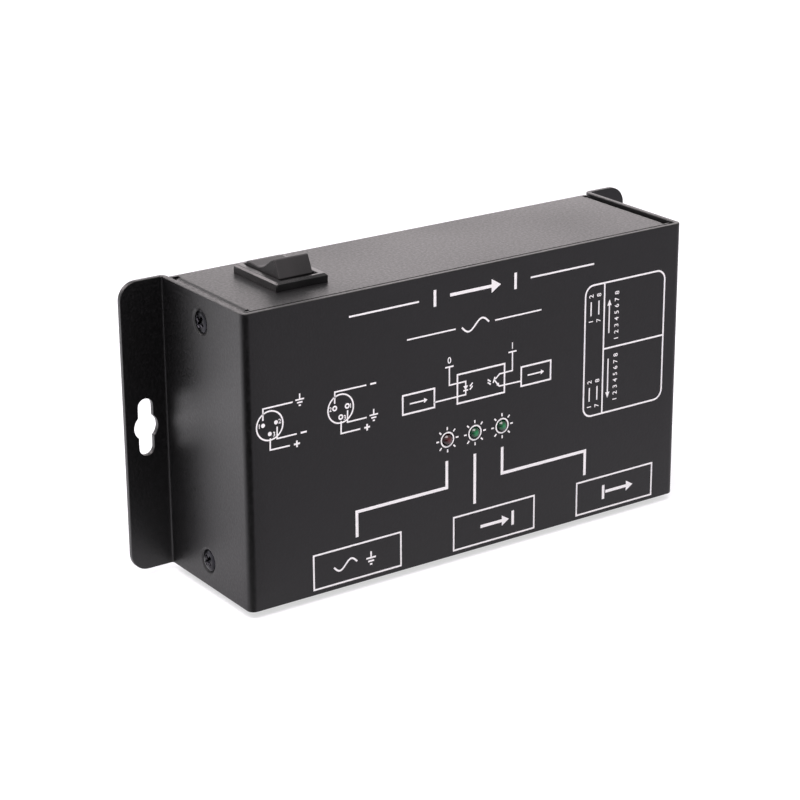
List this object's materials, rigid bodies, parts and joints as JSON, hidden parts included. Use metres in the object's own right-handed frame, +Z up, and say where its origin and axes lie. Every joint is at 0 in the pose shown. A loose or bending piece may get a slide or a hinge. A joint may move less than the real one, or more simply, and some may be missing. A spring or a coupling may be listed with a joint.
{
  "type": "dmx signal box",
  "caption": "Wall-mounted lighting signal box in a folded black sheet-metal case, with a rocker switch, indicator lamps, power inlet, signal sockets and network sockets.",
  "frame": {"origin": "centre of the back panel's outer face, on the wall plane", "axes": "+X to the right seen from the front, +Y out of the back panel towards the wall, +Z up; the front panel faces -Y"},
  "size_m": [0.1656, 0.0426, 0.0883],
  "materials": {
    "black_powder_coat": "satin black powder coat, fine texture",
    "blackened_steel": "black zinc plate",
    "bright_steel": "bright zinc plate",
    "switch_nylon": "semi-gloss",
    "socket_moulding": "fine matte",
    "inner_moulding": "matte",
    "led_red_lens": "clear tinted resin",
    "led_green_lens": "clear tinted resin",
    "plated_contact": "tin or silver plate",
    "brass_contact": "bright",
    "board_laminate": "solder mask",
    "capacitor_sleeve": "shrunk sleeve",
    "ferrite": "dull grey ceramic",
    "winding_tape": "polyester tape",
    "fuse_body": "glass tube with plated caps",
    "brown_wire": "flexible insulation",
    "blue_wire": "flexible insulation",
    "green_yellow_wire": "flexible insulation",
    "grey_wire": "flexible insulation"
  },
  "bodies": {
    "case": {"board_screw_1": "bright_steel", "board_screw_2": "bright_steel", "board_screw_3": "bright_steel", "board_screw_4": "bright_steel", "bulk_capacitor": "capacitor_sleeve", "cover_screw_1": "blackened_steel", "cover_screw_2": "blackened_steel", "cover_screw_3": "blackened_steel", "cover_screw_4": "blackened_steel", "data_in_loom": "grey_wire", "data_out_loom": "grey_wire", "earth_nut": "bright_steel", "earth_wire": "green_yellow_wire", "front_cover": "black_powder_coat", "fuse": "fuse_body", "inlet_pin_earth": "plated_contact", "inlet_pin_line": "plated_contact", "inlet_pin_neutral": "plated_contact", "isolated_converter": "inner_moulding", "led_green_middle": "led_green_lens", "led_green_right": "led_green_lens", "led_red": "led_red_lens", "led_spacer_green_middle": "inner_moulding", "led_spacer_green_right": "inner_moulding", "led_spacer_red": "inner_moulding", "line_wire": "brown_wire", "main_board": "board_laminate", "network_in": "socket_moulding", "network_out": "socket_moulding", "neutral_wire": "blue_wire", "power_inlet": "socket_moulding", "rear_chassis": "black_powder_coat", "rectifier": "inner_moulding", "socket_screw_1": "blackened_steel", "socket_screw_2": "blackened_steel", "socket_screw_3": "blackened_steel", "socket_screw_4": "blackened_steel", "socket_screw_5": "blackened_steel", "socket_screw_6": "blackened_steel", "switch_blade_line": "brass_contact", "switch_blade_load": "brass_contact", "switch_housing": "switch_nylon", "switched_line_wire": "brown_wire", "transformer_base": "inner_moulding", "transformer_coil": "winding_tape", "transformer_core": "ferrite", "xlr_in_insert": "socket_moulding", "xlr_in_pin_1": "plated_contact", "xlr_in_pin_2": "plated_contact", "xlr_in_pin_3": "plated_contact", "xlr_in_shell": "socket_moulding", "xlr_out_insert": "socket_moulding", "xlr_out_shell": "socket_moulding"},
    "rocker": {"switch_rocker": "switch_nylon", "switch_plunger": "socket_moulding", "switch_spring": "bright_steel"},
    "contact": {"switch_contact": "brass_contact"},
    "latch": {"xlr_latch": "bright_steel"}
  },
  "joints": [
    {"name": "rocker_hinge", "type": "hinge", "parent": "case", "child": "rocker", "pos_m": [-0.0455, -0.019, 0.0385], "axis": [1, 0, 0], "range_deg": [0, 30]},
    {"name": "contact_seesaw", "type": "hinge", "parent": "case", "child": "contact", "pos_m": [-0.0455, -0.019, 0.0294], "axis": [1, 0, 0], "range_deg": [-20, 0]},
    {"name": "latch_hinge", "type": "hinge", "parent": "case", "child": "latch", "pos_m": [0.0592, -0.0205, -0.0282], "axis": [0, -1, 0], "range_deg": [0, 6], "stiffness_Nm_per_rad": 0.3}
  ],
  "couplings": [
    {"joint": "contact_seesaw", "follows": "rocker_hinge", "ratio": -0.66667}
  ]
}
